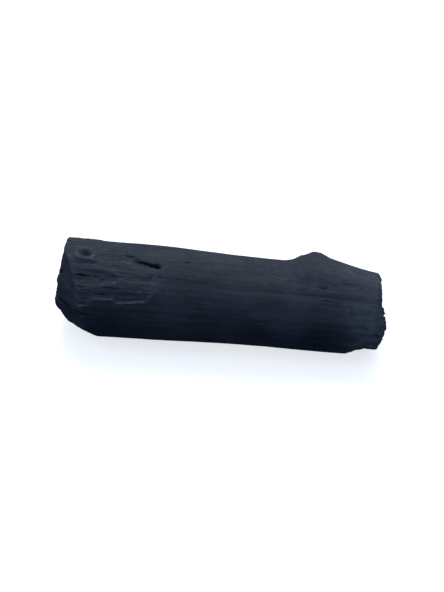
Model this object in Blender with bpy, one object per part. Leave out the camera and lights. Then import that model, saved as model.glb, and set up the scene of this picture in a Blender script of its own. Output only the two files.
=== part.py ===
"""A charcoal lump: one short length of branch wood, carbonised whole, lying on its side.

Metres, +Z up. +X runs along the grain, from the hewn end to the snapped end, and -Y is the
front. The origin lies under the middle of the lump, on the surface that it rests on.
A station is a distance along the grain from the hewn end. A clock angle turns round the
grain: 0 degrees faces the front, 90 the top, 180 the back and 270 the floor.
"""

import math

import bmesh
import bpy
from mathutils import Matrix, Vector, noise

MM = 0.001
LUMP = "charcoal_lump"

# The length of branch
LENGTH = 140 * MM
HEWN_RADIUS = 21.4 * MM
SNAPPED_RADIUS = 17.9 * MM
BOW_BACK = 0.3 * MM
ARCH_UP = 0.3 * MM
SETTLE = 0.55 * MM
OVAL = 0.025
OVAL_CLOCK = 62
# Relief drawn out along the grain: (height, length along it, width across it, seed of its noise)
LUMPS = (0.8 * MM, 38 * MM, 13 * MM, 3.7)
RIDGES = (0.3 * MM, 60 * MM, 3.4 * MM, 11.3)
PITH_OFF_CENTRE = Vector((0.0, 2.0, -1.6)) * MM

# How finely the skin is cut: columns run with the grain, rows run round it
COLUMNS = 76
SIDE_ROWS = 32
# The rows over each end face, from the pith: (share of the way to the rim, relief in mm).
# Each growth ring swells outward and drops back in a short step.
END_RINGS = (
    (0.0, 0.0),
    (0.25, 0.5),
    (0.29, 0.0),
    (0.50, 0.5),
    (0.54, 0.0),
    (0.75, 0.5),
    (0.79, 0.0),
    (0.95, 0.3),
)
END_ROWS = len(END_RINGS)
COLUMN_GAP = 360.0 / COLUMNS
ROWS = END_ROWS + SIDE_ROWS + END_ROWS

# The chops that blunt each end: (set back at the pith in mm, lean in degrees, clock it leans to)
HEWN_FACETS = (
    (0.0, 0, 0),
    (0.8, 9, 130),
    (-5.0, 38, 25),
    (-10.5, 50, -15),
    (-6.6, 40, -50),
    (-28.0, 66, -50),
    (-3.0, 24, 215),
)
SNAPPED_FACETS = (
    (0.6, 6, 130),
    (-2.6, 23, -50),
    (-2.0, 16, 40),
    (-1.0, 8, 220),
)
FACET_BLEND = 0.5 * MM
# Broken wood on both faces: its relief, and the size of its lumps
END_ROUGH = 0.5 * MM
END_LUMPS = 5 * MM
# The snapped end broke on two levels. The upper one starts this far below the pith, seen along
# this clock angle, and the line between them wanders
SNAP_STEP = 1.5 * MM
SNAP_STEP_CLOCK = 150
SNAP_STEP_OFFSET = 2.0 * MM
SNAP_STEP_WALL = 2.0 * MM
SNAP_STEP_WANDER = 2.5 * MM
SNAP_STEP_LUMPS = 6 * MM
# Skin and face meet where each is at the other's reach, found in this many tries
RIM_TRIES = 4

# The collar of a lost side branch, a tent-shaped rise on the upper back
COLLAR_STATION = 109 * MM
COLLAR_CLOCK = 116
COLLAR_HEIGHT = 4.9 * MM
COLLAR_RISE = 12 * MM
COLLAR_FALL = 28 * MM
COLLAR_SPREAD = 34
COLLAR_ROUND = 2.5 * MM
COLLAR_HOLLOW = 1.4

# Patches where the outer layer flaked off: (depth in mm, first and last station in mm, then the
# lower and the upper edge as (station in mm, clock in degrees))
FLAKES = (
    (
        1.0,
        (-9, 45),
        ((-9, 12), (8, 17), (15, 18), (17.5, 27), (25.5, 27.5), (26.3, 24), (39, 27), (45, 50)),
        ((-9, 168), (22, 150), (27, 128), (31, 85), (45, 71)),
    ),
    (
        0.8,
        (-9, 27),
        ((-9, 32), (12, 36), (22, 43), (27, 47)),
        ((-9, 68), (10, 65), (21, 62), (27, 58)),
    ),
    (
        1.0,
        (92, 149),
        ((92, 206), (106, 190), (128, 176), (149, 172)),
        ((92, 211), (104, 224), (130, 236), (149, 238)),
    ),
)
FLAKE_GRAIN = (0.22 * MM, 30 * MM, 3.2 * MM, 21.0)
# The layer was thinner on the upper back: (clock it was thinnest at, half-width, share less)
THIN_LAYER = (132, 28, 0.7)
# How far a flake's edges wander (degrees), how often (mm), and the seeds of the lower and the upper
FLAKE_RAGGED = 1.4
FLAKE_RAGS = 7
FLAKE_SEEDS = (0.3, 5.3)
# A flake is no narrower than this many columns
NARROWEST_FLAKE = 2.1
# How close to a ledge the skin's columns (degrees) and rows run on either side of it
LEDGE = 0.4
STEP = 0.15 * MM
# A flake's edges at its last station are read this far before it (mm)
BEFORE_END = 0.1

# Flat spalls knocked off the skin: (station in mm, clock, depth in mm, lean along the grain)
SPALLS = (
    (132, -48, 3.4, -9),
    (134, 196, 1.8, -12),
    (64, 236, 1.1, 2),
    (8, 78, 0.9, 7),
)
# A spall deepens towards its middle by this share of the way, and faces no further away than this
SPALL_HOLLOW = 0.22
SPALL_FACING = 0.3

# Drying cracks along the grain: (station, clock, length, width, depth, slant); mm and degrees
CRACKS = (
    (38.5, 75, 11.5, 1.8, 4.2, -7),
    (30.5, 84, 6, 0.9, 1.6, -12),
    (11, 54, 9, 1.0, 1.5, 0),
    (12, 39, 5, 0.8, 1.0, 0),
    (20, 32, 5, 0.8, 1.0, 0),
    (40.3, 58, 3.2, 1.1, 0.9, 80),
    (11, 8, 16, 0.8, 2.4, -3),
    (112.3, 65.5, 4, 1.2, 0.9, 0),
    (101, -24, 20, 0.7, 1.6, -3),
    (40, -32, 30, 0.9, 2.2, 2),
    (60, 152, 46, 1.3, 3.6, -3),
    (101, 170, 30, 1.0, 2.6, 4),
    (24, 178, 34, 1.1, 3.2, 2),
    (80, 208, 38, 1.0, 2.4, -2),
    (44, 238, 30, 0.9, 2.2, 3),
    (120, 232, 28, 1.0, 2.6, -4),
    (80, 112, 18, 0.7, 1.6, 3),
)
# A crack's middle wanders by this share of its width, this often along it
CRACK_WANDER = 0.5
CRACK_BENDS = 2.3
CRACK_SEED = 0.4 / MM

# Checks that star out from the pith: (clock, inner and outer share of the radius, width, depth)
HEWN_CHECKS = (
    (8, 0.05, 1.12, 1.5, 7),
    (66, 0.02, 0.72, 1.1, 4),
    (118, 0.05, 0.86, 1.2, 4),
    (178, 0.05, 1.1, 1.6, 7),
    (236, 0.05, 0.8, 1.2, 5),
    (306, 0.05, 0.74, 1.2, 5),
)
SNAPPED_CHECKS = (
    (40, 0.04, 0.8, 1.2, 5),
    (98, 0.04, 1.1, 1.3, 6),
    (150, 0.05, 0.9, 1.3, 5),
    (232, 0.05, 1.1, 1.5, 7),
    (292, 0.05, 0.8, 1.1, 5),
    (350, 0.05, 0.84, 1.2, 5),
)

# Knots: (station, clock, radius, height, sunk below the skin); mm and degrees
KNOTS = (
    (12.3, 80.5, 3.4, 0.7, 0.1),
    (107, 134, 5.2, 0.75, 0.2),
    (70, 194, 3.8, 0.65, 0.1),
)
KNOT_OVAL = 1.3
# How far a knot's outline wanders, and how often round it
KNOT_WANDER = 0.2
KNOT_BENDS = 1.4
KNOT_SEED = 7.3
# Its parts: (radius as a share of the knot's, thickness in mm, lift as a share of its height,
# segments, rings)
KNOT_SWELLING = (1.15, 1.15, -0.6, 16, 8)
KNOT_RING = (0.62, 0.45, 0.72, 16, 6)
KNOT_PIT = (0.34, 1.5, 0.9, 10, 6)

CHARCOAL = (0.020, 0.023, 0.030, 1.0)
MATTE = 0.62
SHARP_EDGE = 35


def ramp(value):
    """0 below 0 and 1 above 1, with a smooth turn at both."""
    share = min(1.0, max(0.0, value))
    return share * share * (3.0 - 2.0 * share)


def between(points, value):
    """The height at this value of a line through points (value, height)."""
    for (start, low), (end, high) in zip(points, points[1:]):
        if value <= end:
            share = max(0.0, (value - start) / (end - start))
            return low + (high - low) * share
    return points[-1][1]


def apart(clock, other):
    """How far one clock angle is past another, in degrees from -180 to 180."""
    return (clock - other + 180.0) % 360.0 - 180.0


def outward(clock):
    """The direction square to the grain at this clock angle."""
    angle = math.radians(clock)
    return Vector((0.0, -math.cos(angle), math.sin(angle)))


def grain(relief, x, clock, shift=0.0):
    """How far this relief lifts the skin here. A shift gives it another pattern."""
    height, along, across, seed = relief
    seed += shift
    place = outward(clock) * (HEWN_RADIUS / across) + Vector((x / along + seed, seed, 0.0))
    return height * noise.noise(place)


def taper(x):
    """The branch's plain radius here."""
    share = x / LENGTH + 0.5
    return HEWN_RADIUS + (SNAPPED_RADIUS - HEWN_RADIUS) * share


def pith(x):
    """The middle of the branch here. It bows back and arches up off the floor."""
    bend = 1.0 - (2.0 * x / LENGTH) ** 2
    return Vector((x, BOW_BACK * bend, taper(x) - SETTLE + ARCH_UP * bend))


def collar(station, clock):
    """The rise round the lost side branch: steep towards the hewn end, long towards the other."""
    past = station - COLLAR_STATION
    away = math.hypot(past, COLLAR_ROUND) - COLLAR_ROUND
    tent = 1.0 - away / (COLLAR_FALL if past > 0 else COLLAR_RISE)
    spread = math.exp(-((apart(clock, COLLAR_CLOCK) / COLLAR_SPREAD) ** 2))
    return COLLAR_HEIGHT * spread * max(0.0, tent) ** COLLAR_HOLLOW


def flake_edges(number, mm):
    """The clock angles between which this flake is off at this station, or None."""
    _, (first, last), lower, upper = FLAKES[number]
    if not first < mm < last:
        return None
    low, high = (
        between(points, mm) + FLAKE_RAGGED * noise.noise(Vector((mm / FLAKE_RAGS, number, seed)))
        for points, seed in zip((lower, upper), FLAKE_SEEDS)
    )
    if apart(high, low) < NARROWEST_FLAKE * COLUMN_GAP:
        return None
    return low, high


def layer(clock):
    """How thick the flaked layer was here, as a share of its full thickness."""
    thinnest, width, less = THIN_LAYER
    return 1.0 - less * math.exp(-((apart(clock, thinnest) / width) ** 4))


def flaked(x, clock):
    """How deep the flakes have taken the skin down here."""
    depth = 0.0
    for number, flake in enumerate(FLAKES):
        edges = flake_edges(number, (x + LENGTH / 2) / MM)
        if edges and apart(clock, edges[0]) > 0.0 and apart(clock, edges[1]) < 0.0:
            depth += layer(clock) * (flake[0] * MM + grain(FLAKE_GRAIN, x, clock, number))
    return depth


def beside(past, gap, reach):
    """Moves a line of the skin that lies within a gap of a ledge right up to the ledge."""
    if abs(past) >= gap:
        return 0.0
    return math.copysign(reach, past) - past


def beside_ledges(x, clock):
    """The clock angle of this column after it is moved up to the ledges that it is near."""
    for number in range(len(FLAKES)):
        for edge in flake_edges(number, (x + LENGTH / 2) / MM) or ():
            clock += beside(apart(clock, edge), COLUMN_GAP, LEDGE)
    return clock


def spalled(radius, station, clock):
    """The radius after the flat spalls are taken off it."""
    for mm, spall_clock, depth, lean in SPALLS:
        facing = math.cos(math.radians(apart(clock, spall_clock)))
        if facing <= SPALL_FACING:
            continue
        past = station - mm * MM
        plane = taper(mm * MM - LENGTH / 2) - depth * MM
        plane += abs(past) * SPALL_HOLLOW + past * math.tan(math.radians(lean))
        radius = min(radius, plane / facing)
    return radius


def girth(x, clock):
    """The distance from the pith to the skin."""
    station = x + LENGTH / 2
    radius = taper(x) * (1.0 + OVAL * math.cos(math.radians(2.0 * (clock - OVAL_CLOCK))))
    radius += grain(LUMPS, x, clock) + grain(RIDGES, x, clock) + collar(station, clock)
    return spalled(radius - flaked(x, clock), station, clock)


def set_down(point):
    """The underside is flat where it would reach below the floor."""
    point.z = max(point.z, 0.0)
    return point


def side_point(x, clock):
    return pith(x) + outward(clock) * girth(x, clock)


def near_skin(x, clock, across, up):
    """The point this far round the skin from (x, clock) and this far above it."""
    turned = clock + math.degrees(across / HEWN_RADIUS)
    return side_point(x, turned) + outward(turned) * up


def set_back(facets, offset):
    """How far the chopped face lies behind the end, at this offset from the pith."""
    depths = [
        mm * MM + math.tan(math.radians(lean)) * offset.dot(outward(clock))
        for mm, lean, clock in facets
    ]
    deepest = max(depths)
    return deepest + FACET_BLEND * math.log(
        sum(math.exp((depth - deepest) / FACET_BLEND) for depth in depths)
    )


def snap_step(offset):
    """The snapped end broke on two levels, along a ragged line across the grain."""
    across = offset.dot(outward(SNAP_STEP_CLOCK)) + SNAP_STEP_OFFSET
    across += SNAP_STEP_WANDER * noise.noise(offset / SNAP_STEP_LUMPS)
    return SNAP_STEP * ramp(across / SNAP_STEP_WALL + 0.5)


def end_x(end, offset):
    """Where the face of this end (-1 hewn, 1 snapped) lies along the grain."""
    rough = END_ROUGH * noise.noise(offset / END_LUMPS + Vector((end, 0.0, 0.0)))
    if end < 0:
        return set_back(HEWN_FACETS, offset) + rough - LENGTH / 2
    return LENGTH / 2 - set_back(SNAPPED_FACETS, offset) - snap_step(offset) + rough


def rim_point(end, clock):
    """Where the skin meets the face of this end."""
    x = end * LENGTH / 2
    for _ in range(RIM_TRIES):
        x = end_x(end, outward(clock) * girth(x, clock))
    return side_point(x, clock)


def face_point(end, share, clock, relief=0.0):
    """A point of an end face, this share of the way from the pith to the rim."""
    rim = rim_point(end, clock)
    middle = pith(end * LENGTH / 2)
    offset = rim - middle
    offset.x = 0.0
    offset = PITH_OFF_CENTRE.lerp(offset, share)
    x = end_x(end, offset) + end * relief
    return Vector((x, middle.y + offset.y, middle.z + offset.z))


def skin_point(row, clock):
    """The skin runs from the hewn pith (row 0), over that rim, down the side and back in."""
    rows_left = ROWS - row
    hewn_clock = beside_ledges(-LENGTH / 2, clock)
    if row < END_ROWS:
        share, relief = END_RINGS[row]
        return face_point(-1, share, hewn_clock, relief * MM)
    snapped_clock = beside_ledges(LENGTH / 2, clock)
    if rows_left < END_ROWS:
        share, relief = END_RINGS[rows_left]
        return face_point(1, share, snapped_clock, relief * MM)
    start = rim_point(-1, hewn_clock)
    end = rim_point(1, snapped_clock)
    if row == END_ROWS:
        return start
    if rows_left == END_ROWS:
        return end
    gap = (end.x - start.x) / SIDE_ROWS
    x = start.x + gap * (row - END_ROWS)
    for number, (_, (_, last), _, _) in enumerate(FLAKES):
        edges = flake_edges(number, last - BEFORE_END)
        if edges and apart(clock, edges[0]) > -COLUMN_GAP and apart(clock, edges[1]) < COLUMN_GAP:
            x += beside(x + LENGTH / 2 - last * MM, gap, STEP)
    return side_point(x, beside_ledges(x, clock))


def charcoal_material():
    material = bpy.data.materials.new("charcoal")
    material.use_nodes = True
    shader = material.node_tree.nodes["Principled BSDF"]
    shader.inputs["Base Color"].default_value = CHARCOAL
    shader.inputs["Roughness"].default_value = MATTE
    shader.inputs["Metallic"].default_value = 0.0
    return material


def new_object(name, bm, collection, parent):
    """The bmesh as an object of its own."""
    mesh = bpy.data.meshes.new(name)
    bm.to_mesh(mesh)
    bm.free()
    body = bpy.data.objects.new(name, mesh)
    collection.objects.link(body)
    body.parent = parent
    return body


def add_lump(collection, parent):
    """A ball whose rings are slid along the branch: some over each end, the rest down its side."""
    bm = bmesh.new()
    bmesh.ops.create_uvsphere(bm, u_segments=COLUMNS, v_segments=ROWS, radius=1.0)
    for vert in bm.verts:
        row = round(math.acos(max(-1.0, min(1.0, -vert.co.z))) / math.pi * ROWS)
        clock = 180.0 - math.degrees(math.atan2(vert.co.y, vert.co.x))
        vert.co = set_down(skin_point(row, clock))
    lump = new_object(LUMP, bm, collection, parent)
    lump.data.materials.append(charcoal_material())
    lump.data.shade_smooth()
    lump.data.set_sharp_from_angle(angle=math.radians(SHARP_EDGE))
    return lump


def add_blade(name, centre, along, out, size, collection, parent):
    """A lens-shaped cutter of this (length, width, depth), centred on the surface that it cracks."""
    length, width, depth = size
    bm = bmesh.new()
    bmesh.ops.create_uvsphere(bm, u_segments=4, v_segments=8, radius=1.0)
    for vert in bm.verts:
        x, y, z = vert.co.z, vert.co.x, vert.co.y
        place = Vector((x * CRACK_BENDS, centre.x * CRACK_SEED, centre.z * CRACK_SEED))
        wander = width * CRACK_WANDER * noise.noise(place)
        vert.co = (x * length / 2, y * width / 2 + wander, z * depth)
    blade = new_object(name, bm, collection, parent)
    across = out.cross(along).normalized()
    out = along.cross(across).normalized()
    blade.matrix_local = Matrix.Translation(centre) @ Matrix((along, across, out)).transposed().to_4x4()
    as_helper(blade)


def add_cracks(collection, parent):
    for number, (mm, clock, length, width, depth, slant) in enumerate(CRACKS):
        x = mm * MM - LENGTH / 2
        out = outward(clock)
        along = Matrix.Rotation(math.radians(slant), 3, out) @ Vector((1.0, 0.0, 0.0))
        size = (length * MM, width * MM, depth * MM)
        add_blade(f"crack_{number:02d}", side_point(x, clock), along, out, size, collection, parent)


def add_checks(end, checks, collection, parent):
    for number, (clock, inner, outer, width, depth) in enumerate(checks):
        start = face_point(end, inner, clock)
        stop = face_point(end, outer, clock)
        along = stop - start
        size = (along.length, width * MM, depth * MM)
        name = f"check_{'hewn' if end < 0 else 'snapped'}_{number}"
        out = Vector((end, 0.0, 0.0))
        add_blade(name, (start + stop) / 2, along.normalized(), out, size, collection, parent)


def add_knots(knots, cutters, parent):
    """Each knot is a low oval swelling with a ring cut in it round a shallow pit."""
    for number, knot in enumerate(KNOTS):
        add_knot_part(f"knot_swelling_{number}", number, knot, KNOT_SWELLING, knots, parent)
        add_knot_part(f"knot_ring_{number}", number, knot, KNOT_RING, cutters, parent)
        add_knot_part(f"knot_pit_{number}", number, knot, KNOT_PIT, cutters, parent)


def add_knot_part(name, number, knot, part, collection, parent):
    """A flattened ball, wrapped round the skin where the knot is."""
    mm, clock, radius, height, sunk = knot
    reach, thick, lift, segments, rings = part
    bm = bmesh.new()
    bmesh.ops.create_uvsphere(bm, u_segments=segments, v_segments=rings, radius=1.0)
    for vert in bm.verts:
        place = Vector((vert.co.x * KNOT_BENDS, vert.co.y * KNOT_BENDS, number * KNOT_SEED))
        wide = radius * reach * (1.0 + KNOT_WANDER * noise.noise(place)) * MM
        x = mm * MM - LENGTH / 2 + vert.co.y * wide * KNOT_OVAL
        up = (height * lift - sunk + vert.co.z * thick) * MM
        vert.co = near_skin(x, clock, -vert.co.x * wide, up)
    as_helper(new_object(name, bm, collection, parent))


def as_helper(body):
    """A solid that a Boolean reads is out of the render and drawn as wire."""
    body.hide_render = True
    body.display_type = "WIRE"


def add_boolean(body, name, operation, collection):
    modifier = body.modifiers.new(name, "BOOLEAN")
    modifier.operation = operation
    modifier.operand_type = "COLLECTION"
    modifier.collection = collection
    modifier.solver = "EXACT"


def centre_over_origin(frame, body):
    """Moves everything level, so that the finished lump's box is centred over the origin."""
    bpy.context.view_layer.update()
    shown = body.evaluated_get(bpy.context.evaluated_depsgraph_get())
    corners = [shown.matrix_world @ Vector(corner) for corner in shown.bound_box]
    for axis in (0, 1):
        reach = [corner[axis] for corner in corners]
        frame.location[axis] -= (min(reach) + max(reach)) / 2


def new_collection(name):
    collection = bpy.data.collections.new(name)
    bpy.context.scene.collection.children.link(collection)
    return collection


def main():
    for leftover in list(bpy.data.objects):
        bpy.data.objects.remove(leftover)
    lumps = new_collection(LUMP)
    knots = new_collection("knots")
    cutters = new_collection("cutters")
    frame = bpy.data.objects.new("lump_frame", None)
    lumps.objects.link(frame)

    lump = add_lump(lumps, frame)
    add_knots(knots, cutters, frame)
    add_cracks(cutters, frame)
    add_checks(-1, HEWN_CHECKS, cutters, frame)
    add_checks(1, SNAPPED_CHECKS, cutters, frame)
    add_boolean(lump, "knots", "UNION", knots)
    add_boolean(lump, "cracks", "DIFFERENCE", cutters)
    centre_over_origin(frame, lump)


main()
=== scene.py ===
"""The look of a charcoal lump: its skin, bared wood, knots, cracks and end faces in full detail.

Metres, +Z up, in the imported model's frame. +X runs along the grain, from the hewn end to the
snapped end, and -Y is the front. A station is a distance along the grain from the hewn end. A
clock angle turns round the grain: 0 degrees faces the front, 90 the top, 180 the back and 270
the floor.
"""

import math

import bmesh
import bpy
from mathutils import Matrix, Vector, noise

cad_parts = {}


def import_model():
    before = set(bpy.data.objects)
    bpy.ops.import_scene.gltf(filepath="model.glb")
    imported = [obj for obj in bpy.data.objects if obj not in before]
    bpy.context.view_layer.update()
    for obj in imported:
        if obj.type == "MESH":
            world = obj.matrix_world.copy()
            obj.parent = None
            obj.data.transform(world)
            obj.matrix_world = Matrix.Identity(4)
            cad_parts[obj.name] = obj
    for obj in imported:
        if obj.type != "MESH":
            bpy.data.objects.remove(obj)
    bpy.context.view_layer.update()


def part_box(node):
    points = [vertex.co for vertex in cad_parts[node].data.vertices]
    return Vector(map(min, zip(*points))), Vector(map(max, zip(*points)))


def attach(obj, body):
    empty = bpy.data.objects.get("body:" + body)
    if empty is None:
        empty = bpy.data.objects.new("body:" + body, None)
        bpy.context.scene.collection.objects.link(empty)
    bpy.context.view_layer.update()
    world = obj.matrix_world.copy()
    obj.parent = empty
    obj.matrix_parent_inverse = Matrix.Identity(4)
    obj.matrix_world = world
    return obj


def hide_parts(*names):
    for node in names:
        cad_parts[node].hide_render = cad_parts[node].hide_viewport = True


MM = 0.001
LUMP = "charcoal_lump"

# The length of branch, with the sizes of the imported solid
LENGTH = 140 * MM
HEWN_RADIUS = 21.4 * MM
SNAPPED_RADIUS = 17.9 * MM
BOW_BACK = 0.3 * MM
ARCH_UP = 0.3 * MM
SETTLE = 0.55 * MM
OVAL = 0.025
OVAL_CLOCK = 62
# Relief drawn out along the grain: (height, length along it, width across it, seed of its noise)
LUMPS = (0.8 * MM, 38 * MM, 13 * MM, 3.7)
RIDGES = (0.3 * MM, 60 * MM, 3.4 * MM, 11.3)
PITH_OFF_CENTRE = Vector((0.0, 2.0, -1.6)) * MM

# How finely the skin is cut. Triangles come to twice COLUMNS times ROWS.
COLUMNS = 384
FACE_ROWS = 38
RIM_ROWS = 5
SIDE_ROWS = 168
ROWS = 2 * (FACE_ROWS + RIM_ROWS) + SIDE_ROWS
# Rows lie closest where the skin is roughest: (share of the side's rows, share of its length)
ROW_PLACES = ((0.0, 0.0), (0.46, 0.34), (0.78, 0.80), (1.0, 1.0))

# The chops that blunt each end: (set back at the pith in mm, lean in degrees, clock it leans to)
HEWN_FACETS = (
    (0.0, 0, 0),
    (0.8, 9, 130),
    (-5.0, 38, 25),
    (-10.5, 50, -15),
    (-6.6, 40, -50),
    (-28.0, 66, -50),
    (-3.0, 24, 215),
)
SNAPPED_FACETS = (
    (0.6, 6, 130),
    (-2.6, 23, -50),
    (-2.0, 16, 40),
    (-1.0, 8, 220),
)
FACET_BLEND = 0.5 * MM
# Broken wood on both faces: its relief, and the size of its lumps
END_ROUGH = 0.5 * MM
END_LUMPS = 5 * MM
# The snapped end broke on two levels. The upper one starts this far below the pith, seen along
# this clock angle, and the line between them wanders and splinters: (reach, size of its bends)
SNAP_STEP = 1.5 * MM
SNAP_STEP_CLOCK = 150
SNAP_STEP_OFFSET = 2.0 * MM
SNAP_STEP_WALL = 0.9 * MM
SNAP_STEP_BENDS = ((2.5 * MM, 6 * MM), (0.6 * MM, 1.4 * MM))
# Skin and face meet where each is at the other's reach, found in this many tries
RIM_TRIES = 4
# Growth rings: the swell of the four thickest, as (share of the way to the rim, relief in mm),
# then the spacing and relief of the fine ones
THICK_RINGS = (
    (0.0, 0.0),
    (0.25, 0.5),
    (0.29, 0.0),
    (0.50, 0.5),
    (0.54, 0.0),
    (0.75, 0.5),
    (0.79, 0.0),
    (0.95, 0.3),
    (1.0, 0.0),
)
RING_SPACING = 1.9 * MM
RING_RELIEF = 0.2 * MM
# Each fine ring swells up to this share of its width and drops over the rest. Rings wander by
# this share of their spacing, in bends of this size
RING_CREST = 0.75
RING_WANDER = 0.5
RING_BENDS = 7 * MM
# Rays: their height, how many there are round the pith, and their length
RAY_RELIEF = 0.12 * MM
RAYS = 13.0
RAY_LENGTH = 4 * MM
PITH_HOLE = 1.4 * MM
PITH_RADIUS = 0.9 * MM
# How rough each face (-1 hewn, 1 snapped) is in its coarse and its fine lumps, and their sizes
FACE_ROUGH = {-1: (0.12 * MM, 0.10 * MM), 1: (0.42 * MM, 0.22 * MM)}
FACE_LUMPS = (2.3 * MM, 1.0 * MM)
# The burnt-off corner between the skin and a face: its least and greatest radius
RIM_ROUND = (0.25 * MM, 1.0 * MM)
RIM_BENDS = 16
# Chips out of that corner: their size, how much of the rim they take, and how far apart they are
RIM_CHIP = 1.1 * MM
RIM_CHIPPED = (-0.9, 3.0)
RIM_CHIP_GAP = 6

# The collar of a lost side branch, a tent-shaped rise on the upper back
COLLAR_STATION = 109 * MM
COLLAR_CLOCK = 116
COLLAR_HEIGHT = 4.9 * MM
COLLAR_RISE = 12 * MM
COLLAR_FALL = 28 * MM
COLLAR_SPREAD = 34
COLLAR_ROUND = 2.0 * MM
COLLAR_HOLLOW = 1.4

# Patches where the outer layer flaked off: (depth in mm, first and last station in mm, then the
# lower and the upper edge as (station in mm, clock in degrees))
FLAKES = (
    (
        1.0,
        (-9, 45),
        ((-9, 12), (8, 17), (15, 18), (17.5, 27), (25.5, 27.5), (26.3, 24), (39, 27), (45, 50)),
        ((-9, 168), (22, 150), (27, 128), (31, 85), (45, 71)),
    ),
    (
        0.8,
        (-9, 27),
        ((-9, 32), (12, 36), (22, 43), (27, 47)),
        ((-9, 68), (10, 65), (21, 62), (27, 58)),
    ),
    (
        1.0,
        (92, 149),
        ((92, 206), (106, 190), (128, 176), (149, 172)),
        ((92, 211), (104, 224), (130, 236), (149, 238)),
    ),
)
FLAKE_GRAIN = (0.22 * MM, 30 * MM, 3.2 * MM, 21.0)
# The layer was thinner on the upper back: (clock it was thinnest at, half-width, share less)
THIN_LAYER = (132, 28, 0.7)
# How far a flake's edges wander (degrees), how often (mm), and the seeds of the lower and the upper
FLAKE_RAGGED = 1.4
FLAKE_RAGS = 7
FLAKE_SEEDS = (0.3, 5.3)
SPLINTERS = 0.6
SPLINTER_LENGTH = 1.5
# How far a flake's last edge wanders (mm), and how often (degrees)
FLAKE_END_RAGGED = 1.2
FLAKE_END_RAGS = 5
# A flake is no narrower than this, and does nothing this far past its end (mm) or beside it
NARROWEST_FLAKE = 2.5
PAST_FLAKE_END = 2
BESIDE_FLAKE = 20
# How wide a ledge's wall is in mm: with the grain, what is added to it across the grain, and
# what is added where the ledge is worn down
LEDGE = 0.30
LEDGE_ACROSS = 0.55
LEDGE_WORN_DOWN = 2.2
# A ledge as crisp as this isn't worn down at all
LEDGE_UNWORN = 1 / 1.3
# Where a ledge still stands crisp, with a painted highlight: (station in mm, clock, half its length in
# mm, strength)
CRISP_HIGHLIT_LEDGES = (
    (11.5, 17.5, 3.2, 0.9),
    (21.5, 26, 4.5, 0.8),
    (32.5, 25, 7.5, 1.0),
    (30, 104, 8, 0.5),
    (45, 66, 6, 0.35),
    (126, 176, 9, 0.7),
    (120, 232, 12, 0.6),
)
# A crisp ledge is at full strength up to the first of these shares of its half-length, and gone
# at the second
LEDGE_FULL = 0.5
LEDGE_GONE = 4 / 3
# How pale the painted highlight on all other ledges is
LEDGE_MIST = 0.06
# A ledge's painted highlight is palest this far inside the flake, and is gone that far round it (mm)
LEDGE_PALEST = 0.1
LEDGE_PALE_REACH = 0.6
# The painted highlight comes in patches: how much they cover, their length (mm) and their width
# (degrees)
LEDGE_PATCHES = (0.8, 1.5)
LEDGE_PATCH = 2.1
LEDGE_PATCH_WIDTH = 9.0

# Flat spalls knocked off the skin: (station in mm, clock, depth in mm, lean along the grain)
SPALLS = (
    (132, -48, 3.4, -9),
    (134, 196, 1.8, -12),
    (64, 236, 1.1, 2),
    (8, 78, 0.9, 7),
)
# A spall deepens towards its middle by this share of the way, and faces no further away than this
SPALL_HOLLOW = 0.22
SPALL_FACING = 0.3
# Its break is rough: the height, the sizes of the lumps and of the finer ones in mm, and the share
# of the height that the finer ones have. It looks fresh from this depth on
SPALL_ROUGH = 0.35 * MM
SPALL_LUMP = 2.4
SPALL_FINE_LUMP = 0.9
SPALL_FINE = 0.4
SPALL_FRESH = 0.3 * MM

# Drying cracks along the grain: (station, clock, length, width, depth, slant, where it is widest,
# from -1 at its hewn end to 1 at the other); mm and degrees
CRACKS = (
    (38.5, 75, 11.5, 1.8, 4.2, -7, 0.74),
    (30.5, 84, 6, 0.9, 1.6, -12, 0.2),
    (11, 54, 9, 1.0, 1.5, 0, 0.2),
    (11, 8, 16, 0.7, 2.2, -3, -0.4),
    (101, -24, 20, 0.6, 1.4, -3, 0.0),
    (40, -32, 30, 0.8, 2.0, 2, -0.2),
    (60, 152, 46, 1.2, 3.6, -3, 0.3),
    (101, 170, 30, 0.9, 2.6, 4, -0.3),
    (24, 178, 34, 1.1, 3.2, 2, -0.6),
    (80, 208, 38, 0.9, 2.4, -2, 0.0),
    (44, 238, 30, 0.9, 2.2, 3, 0.2),
    (120, 232, 28, 1.0, 2.6, -4, 0.6),
    (80, 112, 18, 0.5, 1.2, 3, 0.0),
    (12, 39, 5, 0.7, 1.0, 0, 0.0),
    (23, 41, 11, 0.45, 0.8, 1, 0.0),
    (20, 32, 5, 0.7, 1.0, 0, 0.2),
    (6, 104, 14, 0.7, 1.8, -2, -0.7),
    (117, 72, 4, 0.4, 0.5, 0, 0.0),
    (116, 50, 11, 0.35, 0.5, -2, -0.6),
    (55, 83, 4, 0.6, 0.7, 0, 0.0),
    (52, 132, 12, 0.5, 1.0, 2, 0.0),
    (92, 190, 14, 0.5, 1.2, 3, 0.0),
    (63, 258, 20, 0.6, 1.4, -2, 0.0),
)
# A crack's middle wanders by this share of its width, this often along it, each in its own way.
# Then how quickly it closes towards its ends, and how steep its walls are
CRACK_WANDER = 0.5
CRACK_BENDS = 2.3
CRACK_SEED = 0.4 / MM
CRACK_TAPER = 0.65
CRACK_WALL = 0.7
# It is jagged besides, by this much and this often (mm). Its width varies by this share of it, and
# swells this often
CRACK_JAGGED = 0.3
CRACK_JAGS = 1.6
CRACK_UNEVEN = 0.4
CRACK_SWELL = 1.3 * MM
# A crack narrower than this (mm) is closed, and none reaches further round than this (degrees)
CRACK_CLOSED = 0.02
CRACK_REACH = 15

# A soft spot fades out from its middle, and is gone where the fading reaches this power
SPOT_EDGE = 6.0
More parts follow.
